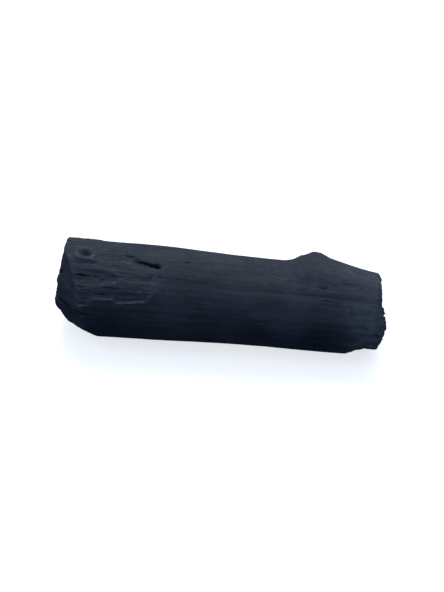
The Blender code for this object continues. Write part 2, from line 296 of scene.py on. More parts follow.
# Soft dents in the skin: (station, clock, half its length, half its width, depth); mm and degrees
DIMPLES = (
    (112.3, 65.5, 1.5, 0.6, 0.8),
    (119, 29, 1.0, 1.2, 0.35),
    (136, 5, 1.8, 1.8, 0.55),
    (40.3, 58, 0.55, 1.5, 0.9),
    (17.3, 53.5, 0.8, 0.5, 0.5),
    (20.2, 49.5, 0.6, 0.5, 0.5),
    (16.2, 69, 0.7, 0.5, 0.4),
    (25.3, 68, 0.7, 0.4, 0.45),
    (74, 118, 2.2, 1.4, 0.4),
    (49, 98, 3.0, 1.6, 0.3),
    (52, 206, 2.6, 1.3, 0.5),
    (116, 150, 2.0, 1.0, 0.4),
)

# Where the skin is paler or darker than around it, partly its own uneven tone, partly a painted
# highlight along the lit top edge and the front of the snapped end and painted shade low on the
# front: (station, clock, half its length, half its width in mm, how much paler from 0 to 1 or
# darker from 0 to -1)
TONES_AND_PAINTED_LIGHT = (
    (70, 104, 30, 6, 0.30),
    (87, 73, 9, 3, 0.25),
    (99, 60, 5, 6, 0.22),
    (126, 126, 14, 5, 0.90),
    (125, 98, 14, 9, 0.80),
    (104, 76, 9, 5, 0.35),
    (113, 140, 8, 4, 0.50),
    (136, 92, 2.5, 12, 0.40),
    (132, 40, 9, 9, 0.48),
    (132, 8, 9, 12, 0.80),
    (122.5, 38, 0.9, 2, 0.70),
    (131, -34, 9, 12, 0.85),
    (9, 64, 10, 5, 0.22),
    (31.5, 79, 1.3, 0.8, 1.00),
    (28, 77, 0.8, 0.7, 0.80),
    (38, 90, 8, 3, 0.25),
    (41, 62, 2.5, 4, 0.30),
    (59, 60, 10, 5, -0.25),
    (92, 40, 7, 4, -0.20),
    (24, 92, 11, 8, -0.38),
    (23.5, 84, 3.5, 2.5, -0.60),
    (24, 34, 9, 5, -0.20),
    (113, -8, 8, 11, -0.95),
    (2, 14, 7, 13, -0.75),
    (27, 2, 22, 8, -0.50),
    (74, -4, 34, 8, -0.20),
    (60, 176, 24, 10, 0.22),
    (112, 205, 14, 9, -0.50),
    (26, 214, 16, 9, -0.40),
)

# Checks that star out from the pith: (clock, inner and outer share of the radius, width, depth)
HEWN_CHECKS = (
    (8, 0.05, 1.12, 1.4, 7),
    (66, 0.02, 0.72, 1.1, 4),
    (118, 0.05, 0.86, 1.2, 4),
    (178, 0.05, 1.1, 1.6, 7),
    (236, 0.05, 0.8, 1.2, 5),
    (306, 0.05, 0.74, 1.2, 5),
)
SNAPPED_CHECKS = (
    (40, 0.04, 0.8, 1.2, 5),
    (98, 0.04, 0.96, 1.3, 6),
    (150, 0.05, 0.9, 1.3, 5),
    (232, 0.05, 1.1, 1.5, 7),
    (292, 0.05, 0.8, 1.1, 5),
    (350, 0.05, 0.84, 1.2, 5),
)
# A check's middle wanders by this many degrees, this often, and its width swells this often
CHECK_WANDER = 3.5
CHECK_BENDS = 4.0
CHECK_SWELLS = 9.0

# Knots: (station, clock, radius, height); mm and degrees
KNOTS = (
    (12.3, 80.5, 3.4, 0.75),
    (107, 134, 5.2, 0.85),
    (70, 194, 3.8, 0.75),
)
KNOT_OVAL = 1.3
# A knot's outline wanders by this share, this often, and its height is worn by this share, in
# patches of this size (mm). It reaches no further than this many times its radius
KNOT_WANDER = 0.3
KNOT_BENDS = 1.4
KNOT_SEED = 7.3
KNOT_WEAR = 0.5
KNOT_WEAR_SIZE = 2.2
KNOT_WEAR_SEED = 3.1
KNOT_EDGE = 1.6
# From its middle out: (share of the knot's radius, height as a share of the knot's own)
KNOT_PROFILE = (
    (0.0, -1.3),
    (0.22, -1.1),
    (0.38, 0.0),
    (0.50, 0.4),
    (0.58, 0.25),
    (0.70, 0.85),
    (0.86, 1.0),
    (1.05, 0.55),
    (1.35, 0.0),
)

# Fine relief in the skin and in the bared wood: (height, length along the grain, width across it)
SKIN_GRAIN = (
    (0.10 * MM, 26 * MM, 1.9 * MM, 31.0),
    (0.05 * MM, 9 * MM, 0.8 * MM, 40.0),
)
FIBRES = (
    (0.18 * MM, 11 * MM, 1.4 * MM, 73.0),
    (0.12 * MM, 3.5 * MM, 0.8 * MM, 82.0),
)
# Bared wood splits in long steps, each this high, along bands of this length and width
TERRACE = 0.20 * MM
TERRACES = (2.2, 16 * MM, 2.7 * MM, 61.0)
# How sharply each step ends
TERRACE_STEEP = 3.0
SKIN_PITS = 0.09 * MM
SKIN_PIT_SIZE = 1.6 * MM
# The underside is this rough, up to this height in mm, in grains of this size, drawn out so far
REST_ROUGH = 0.12 * MM
REST_HEIGHT = 0.5
REST_GRAIN = 1.2 * MM
REST_STRETCH = 6
# Edges sharper than this, in degrees, aren't smoothed over
SHARP_EDGE = 60

# How far round a crack the skin's columns are drawn in (degrees), how strongly, and how far past
# its ends. What draws them in at a rim is gone this far from it
GATHER_REACH = 9.0
GATHER_PULL = 0.8
GATHER_FADE = 3 * MM
RIM_FADE = 8 * MM
# How pale the worn rim of each end is, how much of it is worn, and the size of the worn places in
# degrees
RIM_WEAR = {-1: 0.35, 1: 0.65}
RIM_WORN = (0.6, 1.8)
RIM_WORN_SIZE = 7.0

# What is kept for each point of the skin: the shares of bared wood, of a worn rim with the ledges'
# painted highlight, of a crack's painted shade and of an end face, the count of growth rings, and
# how pale or dark it is, its own tone with painted highlight and shade
MARKS = ("bare", "worn", "crack", "face", "ring", "tone")
# A crack's painted shade is at its darkest from this depth on
CRACK_SHADE_FULL_DEPTH = 1.2 * MM
# Ash dust, which also paints the upward faces lighter: the sizes of its patches and of the finer
# ones, how uneven they make it, then how it grows as the skin turns up: (rise, start)
DUST_PATCH = 9 * MM
DUST_FINE_PATCH = 3 * MM
DUST_UNEVEN = 0.35
DUST_RISE = (1.1, -0.1)

# The charcoal's colours
SKIN_DARK = (0.0170, 0.0205, 0.0280, 1.0)
SKIN_PALE = (0.0300, 0.0345, 0.0440, 1.0)
SKIN_BLOTCH = (0.0400, 0.0455, 0.0570, 1.0)
SKIN_STREAK = (0.0430, 0.0495, 0.0620, 1.0)
WOOD_DARK = (0.0190, 0.0225, 0.0300, 1.0)
WOOD_PALE = (0.0390, 0.0450, 0.0565, 1.0)
WOOD_FIBRE = (0.0580, 0.0655, 0.0800, 1.0)
FACE_RING = (0.0720, 0.0810, 0.0980, 1.0)
# Paler patches: partly the skin's own tone, partly a painted highlight
PALE_TONE_AND_HIGHLIGHT = (0.1000, 0.1110, 0.1290, 1.0)
# Darker patches: partly the skin's own tone, partly painted shade; also the knots' dark bands
DARK_TONE_AND_SHADE = (0.0080, 0.0100, 0.0145, 1.0)
# Ash; where the skin faces up it also paints the top lighter
ASH_AND_TOP_LIGHT = (0.1000, 0.1100, 0.1280, 1.0)
KNOT_PALE = (0.1000, 0.1120, 0.1320, 1.0)
# Pale wear on the rims, and a painted highlight along the flakes' ledges
WEAR_AND_LEDGE_HIGHLIGHT = (0.1050, 0.1180, 0.1430, 1.0)
# Painted shade in the cracks and checks
CRACK_PAINTED_SHADE = (0.0030, 0.0038, 0.0055, 1.0)
# How strongly each layer of colour shows
SHOWS = {
    "blotches": 0.45,
    "streaks": 0.13,
    "fibres": 0.25,
    "rings": 0.40,
    "pale": 0.80,
    "dark_tone_and_shade": 0.85,
    "ash": 0.14,
    "flecks": 0.22,
    # Rim wear with the painted ledge highlight
    "worn": 0.70,
    # Painted shade in the cracks
    "crack": 0.90,
}
# Cloudy patterns: (size of their spots, detail, roughness, how far they are drawn out along the
# grain, then the noise that becomes 0 and the noise that becomes 1)
CLOUDY = {
    "clouds": (11 * MM, 3.0, 0.55, 1.5, 0.38, 0.64),
    "blotches": (3.6 * MM, 4.0, 0.60, 1.8, 0.36, 0.66),
    "speckle": (1.0 * MM, 3.0, 0.55, 1.0, 0.35, 0.70),
    "streaks": (1.0 * MM, 5.0, 0.60, 14.0, 0.34, 0.68),
    "fibres": (0.55 * MM, 4.0, 0.60, 22.0, 0.32, 0.70),
    "flecks": (1.6 * MM, 2.0, 0.55, 1.6, 0.60, 0.72),
    "uneven": (4.5 * MM, 2.0, 0.55, 1.0, 0.30, 0.70),
}
# What a pattern's 0 and 1 stand for, where it varies something else
PALE_PATCHES = (0.40, 1.00)
ASH_PATCHES = (0.35, 1.35)
KNOT_PATCHES = (0.35, 0.85)
KNOT_RAGGED = (-0.04, 0.04)
KNOT_UNEVEN = (-0.11, 0.11)
ROUGHNESS = (0.56, 0.74)
# A growth ring's bands, from its inner edge at 0 to its outer at 1: (place, how pale)
RING_TONES = ((0.0, 0.25), (0.45, 0.7), (0.72, 1.0), (0.80, 0.0), (1.0, 0.25))
# Bared wood is this much smoother, and ash this much rougher
BARE_SMOOTHER = 0.10
ASH_ROUGHER = 0.20
SPECULAR = 0.32
# The finest relief: the share of each pattern in it, of a knot's bands, its strength and height
BUMPS = {"streaks": 0.50, "fibres": 0.30, "speckle": 0.35}
KNOT_BUMP = 0.9
BUMP_STRENGTH = 0.70
BUMP_HEIGHT = 0.25 * MM
# A knot's colour reaches this many times its radius, and fades into the skin over the last of it,
# from its middle at 0 out to 1
KNOT_REACH = 1.5
KNOT_FADE = (0.72, 1.0)
# The bands of a knot's colour: (place, how pale)
KNOT_TONES = (
    (0.0, 0.0),
    (0.18, 0.0),
    (0.25, 0.40),
    (0.31, 0.25),
    (0.37, 0.70),
    (0.50, 1.0),
    (0.62, 0.90),
    (0.70, 0.15),
    (0.80, 0.30),
    (1.0, 0.35),
)

# The view: the log's slope in the picture, and where the camera looks from
IMAGE_SLOPE = 4.3
CAMERA_ELEVATION = 40
CAMERA_DISTANCE = 0.70
CAMERA_LENS = 100
FLOOR_SIZE = 6.0
FLOOR_GREY = (0.86, 0.86, 0.86, 1.0)
FLOOR_ROUGHNESS = 0.9
FLOOR_GLOW = 0.70
SKY_GLOW = 0.50
ROOM_GLOW = 0.04
# The sky's glow grows from the first of these heights to the second, from -1 straight down to 1
SKY_RISE = (-0.7, 0.5)
# The sky's colour at the horizon and straight up
LOW_BLUE = (0.38, 0.60, 1.0, 1.0)
HIGH_BLUE = (0.56, 0.72, 1.0, 1.0)
# The lamps: (place from the lump's middle, size, power, colour)
LAMPS = {
    "sky": ((0.0, 0.75, 1.1), 1.3, 8.2, (1.0, 0.96, 0.90)),
    "window": ((-0.9, -0.35, 1.0), 0.5, 1.5, (0.90, 0.95, 1.0)),
}


def ramp(value):
    """0 below 0 and 1 above 1, with a smooth turn at both."""
    share = min(1.0, max(0.0, value))
    return share * share * (3.0 - 2.0 * share)


def ripple(*place):
    """Smooth noise from about -1 to 1. A bare number in the place keeps one pattern off another."""
    return noise.noise(Vector(place))


def patchy(cover, *place):
    """Soft patches from 0 to 1. The cover is (how much they cover, how sharp they are)."""
    covered, sharp = cover
    return ramp(covered + sharp * ripple(*place))


def between(points, value):
    """The height at this value of a line through points (value, height)."""
    for (start, low), (end, high) in zip(points, points[1:]):
        if value <= end:
            share = max(0.0, (value - start) / (end - start))
            return low + (high - low) * share
    return points[-1][1]


def apart(clock, other):
    """How far one clock angle is past another, in degrees from -180 to 180."""
    return (clock - other + 180.0) % 360.0 - 180.0


def round_skin(degrees):
    """Degrees round the grain as millimetres along the skin."""
    return math.radians(degrees) * HEWN_RADIUS / MM


def outward(clock):
    """The direction square to the grain at this clock angle."""
    angle = math.radians(clock)
    return Vector((0.0, -math.cos(angle), math.sin(angle)))


def grain(relief, x, clock, shift=0.0):
    """How far this relief lifts the skin here. A shift gives it another pattern."""
    height, along, across, seed = relief
    seed += shift
    place = outward(clock) * (HEWN_RADIUS / across) + Vector((x / along + seed, seed, 0.0))
    return height * noise.noise(place)


def taper(x):
    """The branch's plain radius here."""
    share = x / LENGTH + 0.5
    return HEWN_RADIUS + (SNAPPED_RADIUS - HEWN_RADIUS) * share


def pith(x):
    """The middle of the branch here. It bows back and arches up off the floor."""
    bend = 1.0 - (2.0 * x / LENGTH) ** 2
    return Vector((x, BOW_BACK * bend, taper(x) - SETTLE + ARCH_UP * bend))


def collar(station, clock):
    """The rise round the lost side branch: steep towards the hewn end, long towards the other."""
    past = station - COLLAR_STATION
    away = math.hypot(past, COLLAR_ROUND) - COLLAR_ROUND
    tent = 1.0 - away / (COLLAR_FALL if past > 0 else COLLAR_RISE)
    spread = math.exp(-((apart(clock, COLLAR_CLOCK) / COLLAR_SPREAD) ** 2))
    return COLLAR_HEIGHT * spread * max(0.0, tent) ** COLLAR_HOLLOW


def flake_edges(number, mm):
    """The clock angles between which this flake is off at this station, splinters and all."""
    edges = []
    for points, seed in zip(FLAKES[number][2:], FLAKE_SEEDS):
        edge = between(points, mm)
        edge += FLAKE_RAGGED * ripple(mm / FLAKE_RAGS, number, seed)
        edge += SPLINTERS * ripple(mm / SPLINTER_LENGTH, number + 3.0, seed)
        edges.append(edge)
    return edges


def crisp_highlit_ledge(mm, clock):
    """How crisp a ledge that passes here still is, and how pale its painted highlight, from 0 to 1."""
    crispest = LEDGE_MIST
    for station, ledge_clock, half, strength in CRISP_HIGHLIT_LEDGES:
        away = math.hypot(mm - station, round_skin(apart(clock, ledge_clock))) / half
        faded = ramp((LEDGE_GONE - away) / (LEDGE_GONE - LEDGE_FULL))
        crispest = max(crispest, strength * faded)
    return crispest


def layer(clock):
    """How thick the flaked layer was here, as a share of its full thickness."""
    thinnest, width, less = THIN_LAYER
    return 1.0 - less * math.exp(-((apart(clock, thinnest) / width) ** 4))


def inside_flake(number, mm, clock):
    """(how far inside this flake's edge, how much that edge runs across the grain), or None."""
    first, last = FLAKES[number][1]
    if not first < mm < last + PAST_FLAKE_END:
        return None
    low, high = flake_edges(number, mm)
    if apart(high, low) < NARROWEST_FLAKE:
        return None
    if min(apart(clock, low), apart(high, clock)) < -BESIDE_FLAKE:
        return None
    low_next, high_next = flake_edges(number, mm + 1.0)
    lower = round_skin(apart(clock, low)) / math.hypot(1.0, round_skin(low_next - low))
    turn = math.hypot(1.0, round_skin(high_next - high))
    upper = round_skin(apart(high, clock)) / turn
    end = last + FLAKE_END_RAGGED * ripple(clock / FLAKE_END_RAGS, number, 2.2) - mm
    inside = min(lower, upper, end)
    across = 1.0 - 1.0 / turn if inside == upper else float(inside == end)
    return inside, across


def flaked(x, clock):
    """(how deep the flakes took the skin down, bared share, share of a ledge's painted highlight)."""
    mm = (x + LENGTH / 2) / MM
    drop = bare = edge = 0.0
    for number, flake in enumerate(FLAKES):
        found = inside_flake(number, mm, clock)
        if found is None:
            continue
        inside, across = found
        worn_down = LEDGE_WORN_DOWN * (1.0 - min(1.0, crisp_highlit_ledge(mm, clock) / LEDGE_UNWORN))
        wall = ramp(inside / (LEDGE + LEDGE_ACROSS * across + worn_down))
        drop += wall * layer(clock) * (flake[0] * MM + grain(FLAKE_GRAIN, x, clock, number))
        bare = max(bare, wall)
        # A painted highlight along the ledge
        edge = max(edge, 1.0 - abs(inside - LEDGE_PALEST) / LEDGE_PALE_REACH)
    if edge > 0.0:
        patches = patchy(LEDGE_PATCHES, mm / LEDGE_PATCH, clock / LEDGE_PATCH_WIDTH, 8.8)
        edge *= crisp_highlit_ledge(mm, clock) * patches
    return drop, bare, max(0.0, edge)


def knotted(station, clock):
    """How high the knots raise the skin here."""
    rise = 0.0
    for number, (mm, knot_clock, radius, height) in enumerate(KNOTS):
        along = (station / MM - mm) / KNOT_OVAL
        around = round_skin(apart(clock, knot_clock))
        reach = math.hypot(along, around) / radius
        if reach < KNOT_EDGE:
            place = Vector((along / radius, around / radius, number * KNOT_SEED))
            reach *= 1.0 - KNOT_WANDER * noise.noise(place * KNOT_BENDS)
            place = Vector((along, around, number * KNOT_WEAR_SEED))
            worn = 1.0 + KNOT_WEAR * noise.noise(place / KNOT_WEAR_SIZE)
            rise += height * MM * worn * between(KNOT_PROFILE, reach)
    return rise


def spotted(spots, station, clock):
    """What the soft spots, as (station, clock, half-length, half-width, strength), add up to here."""
    total = 0.0
    for mm, spot_clock, length, width, strength in spots:
        along = (station / MM - mm) / length
        around = round_skin(apart(clock, spot_clock)) / width
        reach = along * along + around * around
        if reach < SPOT_EDGE:
            total += strength * math.exp(-reach)
    return total


def spalled(radius, station, clock):
    """(the radius after the flat spalls are taken off it, share of a spall's fresh break)."""
    fresh = 0.0
    for number, (mm, spall_clock, depth, lean) in enumerate(SPALLS):
        facing = math.cos(math.radians(apart(clock, spall_clock)))
        if facing <= SPALL_FACING:
            continue
        past = station - mm * MM
        plane = taper(mm * MM - LENGTH / 2) - depth * MM
        plane += abs(past) * SPALL_HOLLOW + past * math.tan(math.radians(lean))
        place = Vector((station, facing * radius, number)) / MM
        lumpy = noise.noise(place / SPALL_LUMP) + SPALL_FINE * noise.noise(place / SPALL_FINE_LUMP)
        plane += SPALL_ROUGH * lumpy
        if plane / facing < radius:
            fresh = max(fresh, ramp((radius - plane / facing) / SPALL_FRESH))
            radius = plane / facing
    return radius, fresh


def plain_girth(x, clock):
    """The distance from the pith to the skin of the bare form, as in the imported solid."""
    radius = taper(x) * (1.0 + OVAL * math.cos(math.radians(2.0 * (clock - OVAL_CLOCK))))
    radius += grain(LUMPS, x, clock) + grain(RIDGES, x, clock)
    return radius + collar(x + LENGTH / 2, clock)


def crack_place(crack, x):
    """(how open this crack is here from 0 to 1, the clock angle of its middle)."""
    mm, clock, length, width, _, slant, widest = crack
    along = (x + LENGTH / 2) / MM - mm
    share = 2.0 * along / length
    if abs(share) >= 1.0:
        return 0.0, clock
    middle = mm * MM - LENGTH / 2
    centre = pith(middle) + outward(clock) * plain_girth(middle, clock)
    shift = along * math.tan(math.radians(slant))
    bent = ripple(share * CRACK_BENDS, centre.x * CRACK_SEED, centre.z * CRACK_SEED)
    shift += width * CRACK_WANDER * bent + CRACK_JAGGED * ripple(along / CRACK_JAGS, clock, 4.4)
    reach = 1.0 + widest if share < widest else 1.0 - widest
    opening = (1.0 - abs(share - widest) / reach) ** CRACK_TAPER
    return opening, clock + math.degrees(shift * MM / HEWN_RADIUS)


def cracked(x, clock):
    """How deep the drying cracks cut into the skin here."""
    deepest = 0.0
    for crack in CRACKS:
        mm, crack_clock, length, width, depth = crack[:5]
        if abs((x + LENGTH / 2) / MM - mm) > length / 2:
            continue
        if abs(apart(clock, crack_clock)) > CRACK_REACH:
            continue
        opening, middle = crack_place(crack, x)
        half = width / 2 * opening * (1.0 + CRACK_UNEVEN * ripple(x / CRACK_SWELL, mm, 7.7))
        away = abs(round_skin(apart(clock, middle)))
        if half > CRACK_CLOSED and away < half:
            deepest = max(deepest, depth * MM * opening * (1.0 - away / half) ** CRACK_WALL)
    return deepest


def skin(x, clock):
    """(radius, bared share, share of a ledge's painted highlight, depth of the crack here) of the
    finished skin.
    """
    station = x + LENGTH / 2
    drop, bare, edge = flaked(x, clock)
    radius, fresh = spalled(plain_girth(x, clock) - drop, station, clock)
    radius += knotted(station, clock) - spotted(DIMPLES, station, clock) * MM
    bare = max(bare, fresh)
    pits = noise.noise(Vector((station, round_skin(clock) * MM, 0.0)) / SKIN_PIT_SIZE)
    smooth = sum(grain(relief, x, clock) for relief in SKIN_GRAIN) - SKIN_PITS * max(0.0, pits)
    step = grain(TERRACES, x, clock) + TERRACES[0]
    rough = sum(grain(relief, x, clock) for relief in FIBRES)
    rough += TERRACE * (ramp((step % 1.0) * TERRACE_STEEP) + step // 1.0 - TERRACES[0])
    radius += smooth + (rough - smooth) * bare
    depth = cracked(x, clock)
    return radius - depth, bare, edge, depth


def set_back(facets, offset):
    """How far the chopped face lies behind the end, at this offset from the pith."""
    depths = [
        mm * MM + math.tan(math.radians(lean)) * offset.dot(outward(clock))
        for mm, lean, clock in facets
    ]
    deepest = max(depths)
    return deepest + FACET_BLEND * math.log(
        sum(math.exp((depth - deepest) / FACET_BLEND) for depth in depths)
    )


def snap_step(offset):
    """The snapped end broke on two levels, along a ragged line across the grain."""
    across = offset.dot(outward(SNAP_STEP_CLOCK)) + SNAP_STEP_OFFSET
    for reach, size in SNAP_STEP_BENDS:
        across += reach * noise.noise(offset / size)
    return SNAP_STEP * ramp(across / SNAP_STEP_WALL + 0.5)


def end_x(end, offset):
    """Where the face of this end (-1 hewn, 1 snapped) lies along the grain."""
    rough = END_ROUGH * noise.noise(offset / END_LUMPS + Vector((end, 0.0, 0.0)))
    if end < 0:
        return set_back(HEWN_FACETS, offset) + rough - LENGTH / 2
    return LENGTH / 2 - set_back(SNAPPED_FACETS, offset) - snap_step(offset) + rough


def check_clock(check, share):
    """The clock angle of this check, this share of the way to the rim."""
    clock = check[0]
    return clock + CHECK_WANDER * ripple(share * CHECK_BENDS, clock, 1.5)


def checked(checks, share, clock):
    """How deep the star of checks cuts into the face here."""
    deepest = 0.0
    for check in checks:
        _, inner, outer, width, depth = check
        if not inner < share < outer:
            continue
        along = (2.0 * share - inner - outer) / (outer - inner)
        opening = math.sqrt(1.0 - along * along)
        half = width / 2 * opening * (1.0 + CRACK_UNEVEN * ripple(share * CHECK_SWELLS, width, 5.1))
        away = abs(round_skin(apart(clock, check_clock(check, share)))) * share
        if away < half:
            deepest = max(deepest, depth * MM * opening * (1.0 - away / half) ** CRACK_WALL)
    return deepest


def ring_turn(offset):
    """How many growth rings lie between here and the pith."""
    from_pith = (offset - PITH_OFF_CENTRE).length
    return from_pith / RING_SPACING + RING_WANDER * noise.noise(offset / RING_BENDS)


def face_relief(end, offset, share, clock):
    """How far the growth rings, rays and broken fibres stand out of the face."""
    from_pith = (offset - PITH_OFF_CENTRE).length
    ring = ring_turn(offset) % 1.0
    relief = RING_RELIEF * (ramp(ring / RING_CREST) - ramp((ring - RING_CREST) / (1.0 - RING_CREST)))
    relief += MM * between(THICK_RINGS, share)
    place = outward(clock) * RAYS + Vector((from_pith / RAY_LENGTH, end, 0.0))
    relief += RAY_RELIEF * noise.noise(place)
    for height, size, seed in zip(FACE_ROUGH[end], FACE_LUMPS, (5.0, 9.0)):
        relief += height * noise.noise(offset / size + Vector((end * seed, 0.0, 0.0)))
    return relief - PITH_HOLE * math.exp(-((from_pith / PITH_RADIUS) ** 2))


def face_point(end, checks, radius, rim, clock, sunk):
    """(point of an end face this far out, depth of the check, growth ring), sunk this far in."""
    share = radius / rim
    offset = PITH_OFF_CENTRE.lerp(outward(clock) * rim, share)
    depth = checked(checks, share, clock)
    x = end_x(end, offset) + end * (face_relief(end, offset, share, clock) - depth - sunk)
    middle = pith(end * LENGTH / 2)
    return Vector((x, middle.y + offset.y, middle.z + offset.z)), depth, ring_turn(offset)


def gathered(past, pull):
    """How far a column that is this far past a crack is drawn towards it, in degrees."""
    if abs(past) >= GATHER_REACH:
        return 0.0
    return math.copysign(GATHER_REACH * (abs(past) / GATHER_REACH) ** (1.0 + pull), past) - past


def towards_checks(checks, share, clock):
    """How far a column of a face is drawn towards its checks."""
    return sum(gathered(apart(clock, check_clock(check, share)), GATHER_PULL) for check in checks)


def towards_cracks(x, clock):
    """How far a column of the side is drawn towards the cracks that it passes."""
    total = 0.0
    station = x + LENGTH / 2
    for crack in CRACKS:
        beyond = (abs(station / MM - crack[0]) - crack[2] / 2) * MM
        pull = GATHER_PULL * ramp(1.0 - beyond / GATHER_FADE)
        if pull > 0.0 and abs(apart(clock, crack[1])) < 2.0 * GATHER_REACH:
            total += gathered(apart(clock, crack_place(crack, x)[1]), pull)
    return total


def tone_and_painted_light(x, clock):
    """How much paler (above 0) or darker (below 0) the skin is here: its own tone, with painted
    highlight and painted shade.
    """
    return max(-1.0, min(1.0, spotted(TONES_AND_PAINTED_LIGHT, x + LENGTH / 2, clock)))


class Column:
    """One line of the skin along the grain, from the hewn pith to the snapped pith."""

    def __init__(self, clock):
        self.clock = clock
        self.ends = {}
        for end, checks in ((-1, HEWN_CHECKS), (1, SNAPPED_CHECKS)):
            drawn = towards_checks(checks, 1.0, clock)
            at_rim = clock + drawn
            x = end * LENGTH / 2
            for _ in range(RIM_TRIES):
                rim = skin(x, at_rim)[0]
                x = end_x(end, outward(at_rim) * rim)
            uneven = 0.5 + 0.5 * ripple(at_rim / RIM_BENDS, end, 0.0)
            low, high = RIM_ROUND
            corner = low + (high - low) * uneven
            corner += RIM_CHIP * patchy(RIM_CHIPPED, at_rim / RIM_CHIP_GAP, end * 3.0, 1.0)
            depth = checked(checks, 1.0, at_rim)
            side_x = x - end * (corner + depth)
            self.ends[end] = (checks, drawn, rim, corner, side_x)

    def face(self, end, row):
        """Row 0 is the pith."""
        checks, _, rim, corner, _ = self.ends[end]
        share = row / FACE_ROWS
        clock = self.clock + towards_checks(checks, share, self.clock)
        point, depth, ring = face_point(end, checks, (rim - corner) * share, rim, clock, 0.0)
        return point, (1.0, 0.0, depth, 1.0, ring, share * tone_and_painted_light(point.x, clock))

    def rim(self, end, row):
        """Row 0 meets the face and row RIM_ROWS the side."""
        checks, drawn, rim, corner, side_x = self.ends[end]
        angle = math.pi / 2 * (1.0 - row / RIM_ROWS)
        clock = self.clock + drawn
        inward = corner * (1.0 - math.cos(angle))
        sunk = corner * (1.0 - math.sin(angle))
        point, depth, ring = face_point(end, checks, rim - inward, rim, clock, sunk)
        radius, bare, edge, crack = skin(point.x, clock)
        share = row / RIM_ROWS
        side = pith(point.x) + outward(clock) * (radius - inward)
        # Painted highlight on the ledges, and pale wear on the rim
        worn = max(edge, RIM_WEAR[end] * patchy(RIM_WORN, clock / RIM_WORN_SIZE, end, 3.3))
        tone = tone_and_painted_light(point.x, clock)
        point = point.lerp(side, ramp(share))
        face = 1.0 - share
        return point, (max(bare, face), worn, max(depth, crack), face, ring, tone)

    def side(self, row):
        """Row 0 meets the hewn rim and row SIDE_ROWS the snapped one."""
        start = self.ends[-1][4]
        end = self.ends[1][4]
        x = start + (end - start) * between(ROW_PLACES, row / SIDE_ROWS)
        drawn = towards_cracks(x, self.clock)
        for which, rim_x in ((-1, start), (1, end)):
            near = 1.0 - ramp(abs(x - rim_x) / RIM_FADE)
            drawn += (self.ends[which][1] - drawn) * near
        clock = self.clock + drawn
        radius, bare, edge, crack = skin(x, clock)
        return pith(x) + outward(clock) * radius, (bare, edge, crack, 0.0, 0.0, tone_and_painted_light(x, clock))

    def point(self, row):
        """(place, what shows there, as numbers in the order of MARKS) of this row."""
        rows_left = ROWS - row
        if row < FACE_ROWS:
            return self.face(-1, row)
        if rows_left < FACE_ROWS:
            return self.face(1, rows_left)
        if row < FACE_ROWS + RIM_ROWS:
            return self.rim(-1, row - FACE_ROWS)
        if rows_left < FACE_ROWS + RIM_ROWS:
            return self.rim(1, rows_left - FACE_ROWS)
        return self.side(row - FACE_ROWS - RIM_ROWS)


def set_down(point):
    """The underside is all but flat where it would reach below the floor."""
    place = Vector((point.x / REST_STRETCH, point.y, 0.0)) / REST_GRAIN
    lift = REST_ROUGH * (0.5 + 0.5 * noise.noise(place))
    point.z = max(point.z, lift * ramp(REST_HEIGHT - point.z / MM))
    return point


def fit_to_solid(mesh):
    """Slides the mesh level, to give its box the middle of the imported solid's. Returns the shift."""
    low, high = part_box(LUMP)
    shift = Vector()
    for axis in (0, 1):
        reach = [vert.co[axis] for vert in mesh.vertices]
        shift[axis] = (low[axis] + high[axis] - min(reach) - max(reach)) / 2
    mesh.transform(Matrix.Translation(shift))
    return shift


def make_lump():
    """(the lump, how far it was shifted): a ball whose rings are slid along the branch."""
    bm = bmesh.new()
    bmesh.ops.create_uvsphere(bm, u_segments=COLUMNS, v_segments=ROWS, radius=1.0)
    columns = {}
    marks = []
    for vert in bm.verts:
        row = round(math.acos(max(-1.0, min(1.0, -vert.co.z))) / math.pi * ROWS)
        line = round(math.degrees(math.atan2(vert.co.y, vert.co.x)) / 360.0 * COLUMNS) % COLUMNS
        if line not in columns:
            columns[line] = Column(180.0 - line * 360.0 / COLUMNS)
        point, mark = columns[line].point(row)
        vert.co = set_down(point)
        marks.append(mark)
    mesh = bpy.data.meshes.new(LUMP + "_skin")
    bm.to_mesh(mesh)
    bm.free()
    for number, name in enumerate(MARKS):
        values = [mark[number] for mark in marks]
        # A crack's painted shade deepens with its depth
        if name == "crack":
            values = [min(1.0, value / CRACK_SHADE_FULL_DEPTH) for value in values]
        mesh.attributes.new(name, "FLOAT", "POINT").data.foreach_set("value", values)
    shift = fit_to_solid(mesh)
    ash_dust_and_top_light = [ash_dust_and_top_light_share(vert) for vert in mesh.vertices]
    mesh.attributes.new("ash_dust_and_top_light", "FLOAT", "POINT").data.foreach_set("value", ash_dust_and_top_light)
    mesh.shade_smooth()
    mesh.set_sharp_from_angle(angle=math.radians(SHARP_EDGE))
    lump = bpy.data.objects.new(LUMP + "_skin", mesh)
    bpy.context.scene.collection.objects.link(lump)
    return lump, shift


def ash_dust_and_top_light_share(vert):
    """Fine ash lies where the skin faces up; the same share is a painted lightening of the upward
    faces.
    """
    patch = noise.noise(vert.co / DUST_PATCH) + 0.5 * noise.noise(vert.co / DUST_FINE_PATCH)
    rise, start = DUST_RISE
    return ramp(vert.normal.z * rise + start + DUST_UNEVEN * patch)


def node(tree, kind, inputs=None, **settings):
    """A shader node. An input's value may be another node's output."""
    made = tree.nodes.new(kind)
    for name, value in settings.items():
        setattr(made, name, value)
    for name, value in (inputs or {}).items():
        if isinstance(value, bpy.types.NodeSocket):
            tree.links.new(value, made.inputs[name])
        else:
            made.inputs[name].default_value = value
    return made


def blended(tree, share, first, second):
    """The colour between two colours, either of which may be an output."""
    mix = tree.nodes.new("ShaderNodeMix")
    mix.data_type = "RGBA"
    for index, value in ((0, share), (6, first), (7, second)):
        if isinstance(value, bpy.types.NodeSocket):
            tree.links.new(value, mix.inputs[index])
        else:
            mix.inputs[index].default_value = value
    return mix.outputs[2]


